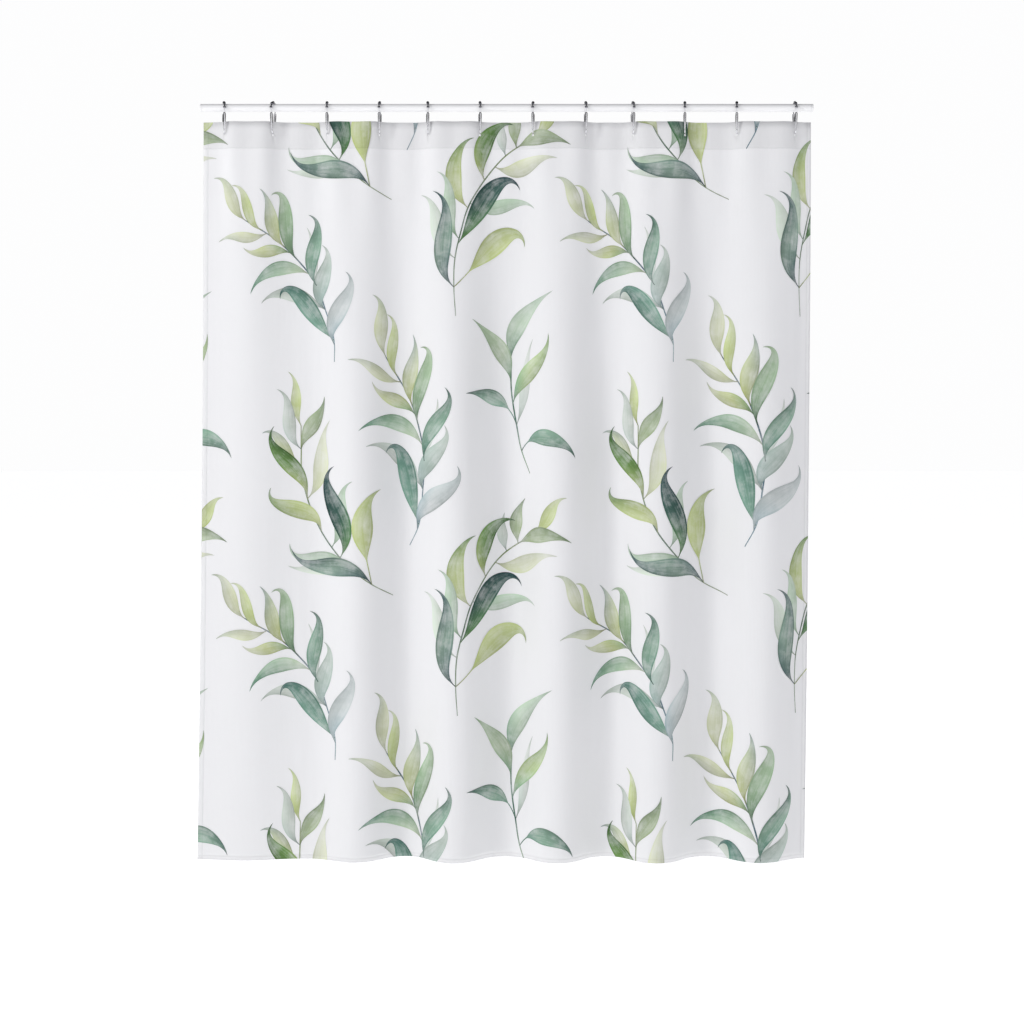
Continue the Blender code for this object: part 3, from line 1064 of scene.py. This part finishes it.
def makeRing(number, place, turn):
    body = "curtain_end" if number == 1 else f"ring_{number:02d}"
    wire = makeRingWire(f"ring_{number:02d}_wire", place, turn)
    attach(wire, body)
    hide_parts(f"ring_wire_{number:02d}")
    stand = Matrix.Translation((place.x, 0, 0)) @ Matrix.Rotation(radians(turn), 4, "Z")
    arch = Matrix.Translation((0, 0, place.z - ring["archRadius"]))
    lift = Matrix.Translation((0, 0, ring["archRadius"]))
    sides = [stand @ arch @ Matrix.Rotation(radians(angle), 4, "X") @ lift for angle in ring["sideBeads"]]
    beads = makeBeads(f"ring_{number:02d}_side_beads", sides)
    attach(beads, body)
    top = makeBeads(f"ring_{number:02d}_top_bead", [Matrix.Translation((0, 0, place.z)) @ stand])
    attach(top, f"roller_{number:02d}")
    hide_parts(f"ring_roller_{number:02d}")


for number, (place, turn) in enumerate(zip(ringPlaces, ring["turns"]), 1):
    makeRing(number, place, turn)
print("rings made")


def rodMaterial(name, colour, roughness):
    nodes = Nodes(name)
    where = nodes.add("TexCoord").outputs["Object"]
    peel = nodes.noise(nodes.stretched(where, (700, 700, 700)), 1.0, 3.0)
    tone = nodes.noise(nodes.stretched(where, (6, 40, 40)), 1.0, 3.0)
    nodes.link(nodes.mix(tone, [c * 0.97 for c in colour], colour), nodes.shader.inputs["Base Color"])
    shine = nodes.ramp(tone, ((0.3, roughness * 0.85), (0.7, roughness * 1.2)))
    nodes.link(shine, nodes.shader.inputs["Roughness"])
    nodes.link(nodes.bump(peel, 0.00004, 0.4), nodes.shader.inputs["Normal"])
    nodes.set(Coat_Weight=0.3, Coat_Roughness=0.15)
    return nodes.material


def finishNode(name, material):
    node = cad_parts[name]
    for slot in node.material_slots:
        slot.material = material


finishNode("rod_tube", rodMaterial("white enamel", (0.85, 0.85, 0.86), 0.28))
capWhite = rodMaterial("moulded white cap", (0.83, 0.83, 0.84), 0.42)
finishNode("rod_cap_left", capWhite)
finishNode("rod_cap_right", capWhite)
print("rod finished")


studio = {
    "floorZ": cadBox[0][2] - 0.155,
    "middle": (rodEnd / 2 + 0.0134, 0, -1.029),
    "distance": 4.1,
    "seen": 2.608,
    "ambient": 0.735,
    "zenith": 0.16,
    "floorGlow": 0.665,
    # what polished metal reflects, from behind the camera round to behind the curtain
    "metalSees": (
        (0.0, 1.0), (0.05, 1.0), (0.10, 0.16), (0.22, 0.02), (0.80, 0.01), (0.94, 0.05), (1.0, 0.22),
    ),
    "shift": -0.10,
}


def makeFloor():
    bm = bmesh.new()
    bmesh.ops.create_grid(bm, x_segments=1, y_segments=1, size=30)
    bmesh.ops.translate(bm, verts=bm.verts, vec=(rodEnd / 2, 0, studio["floorZ"]))
    nodes = Nodes("plain pale floor")
    nodes.set(Base_Color=(0.93, 0.93, 0.935, 1), Roughness=0.9)
    nodes.set(Emission_Color=(1, 1, 1, 1), Emission_Strength=studio["floorGlow"])
    floor = addPiece("floor", meshFrom(bm, "floor", smooth=False), nodes.material)


def makeWorld():
    world = bpy.data.worlds.new("studio")
    bpy.context.scene.world = world
    world.use_nodes = True
    tree = world.node_tree
    light = tree.nodes["Background"]
    # the room is lit all round and is darker overhead
    height = tree.nodes.new("ShaderNodeMapRange")
    height.inputs["From Min"].default_value = 0.15
    height.inputs["To Min"].default_value = studio["ambient"]
    height.inputs["To Max"].default_value = studio["zenith"]
    light.inputs["Color"].default_value = (0.962, 0.966, 1, 1)
    seen = tree.nodes.new("ShaderNodeBackground")
    seen.inputs["Strength"].default_value = 1.0
    seen.inputs["Color"].default_value = (0.985, 0.985, 0.988, 1)
    # polished metal sees a dark studio to each side
    dark = tree.nodes.new("ShaderNodeBackground")
    where = tree.nodes.new("ShaderNodeTexCoord")
    axes = tree.nodes.new("ShaderNodeSeparateXYZ")
    ramp = tree.nodes.new("ShaderNodeValToRGB")
    fillRamp(ramp.color_ramp, studio["metalSees"])
    spread = tree.nodes.new("ShaderNodeMapRange")
    spread.inputs["From Min"].default_value = -1
    path = tree.nodes.new("ShaderNodeLightPath")
    first = tree.nodes.new("ShaderNodeMixShader")
    second = tree.nodes.new("ShaderNodeMixShader")
    tree.links.new(where.outputs["Generated"], axes.inputs[0])
    tree.links.new(axes.outputs[2], height.inputs["Value"])
    tree.links.new(height.outputs[0], light.inputs["Strength"])
    tree.links.new(axes.outputs[1], spread.inputs["Value"])
    tree.links.new(spread.outputs[0], ramp.inputs[0])
    tree.links.new(ramp.outputs[0], dark.inputs["Color"])
    tree.links.new(path.outputs["Is Glossy Ray"], first.inputs[0])
    tree.links.new(light.outputs[0], first.inputs[1])
    tree.links.new(dark.outputs[0], first.inputs[2])
    tree.links.new(path.outputs["Is Camera Ray"], second.inputs[0])
    tree.links.new(first.outputs[0], second.inputs[1])
    tree.links.new(seen.outputs[0], second.inputs[2])
    tree.links.new(second.outputs[0], tree.nodes["World Output"].inputs["Surface"])


def addLight(name, place, target, size, power, colour):
    lamp = bpy.data.lights.new(name, "AREA")
    lamp.shape = "DISK"
    lamp.size = size
    lamp.energy = power
    lamp.color = colour
    holder = bpy.data.objects.new(name, lamp)
    holder.location = place
    holder.rotation_euler = (Vector(target) - Vector(place)).to_track_quat("-Z", "Y").to_euler()
    # the lamps light the cloth, and the metal mirrors only the room
    holder.visible_glossy = False
    bpy.context.scene.collection.objects.link(holder)


def makeCamera():
    lens = bpy.data.cameras.new("camera")
    lens.sensor_width = 36
    lens.angle = 2 * atan(studio["seen"] / 2 / studio["distance"])
    camera = bpy.data.objects.new("camera", lens)
    # the camera stands a little above the middle, and its shift brings the frame back down
    raised = studio["shift"] * studio["seen"]
    camera.location = Vector(studio["middle"]) - Vector((0, studio["distance"], raised))
    lens.shift_y = studio["shift"]
    camera.rotation_euler = (pi / 2, 0, 0)
    bpy.context.scene.collection.objects.link(camera)
    bpy.context.scene.camera = camera


makeFloor()
makeWorld()
curtainMiddle = (rodEnd / 2, 0, -0.95)
addLight("key", (-4.6, -3.2, 1.6), curtainMiddle, 1.6, 150, (1, 0.995, 0.985))
addLight("fill", (4.2, -4.4, 0.8), curtainMiddle, 3.2, 10, (0.94, 0.95, 1))
addLight("back", (5.6, 3.0, 1.0), curtainMiddle, 1.8, 62, (1, 0.995, 0.99))
makeCamera()
bpy.context.scene.view_settings.view_transform = "Standard"
print("studio made")
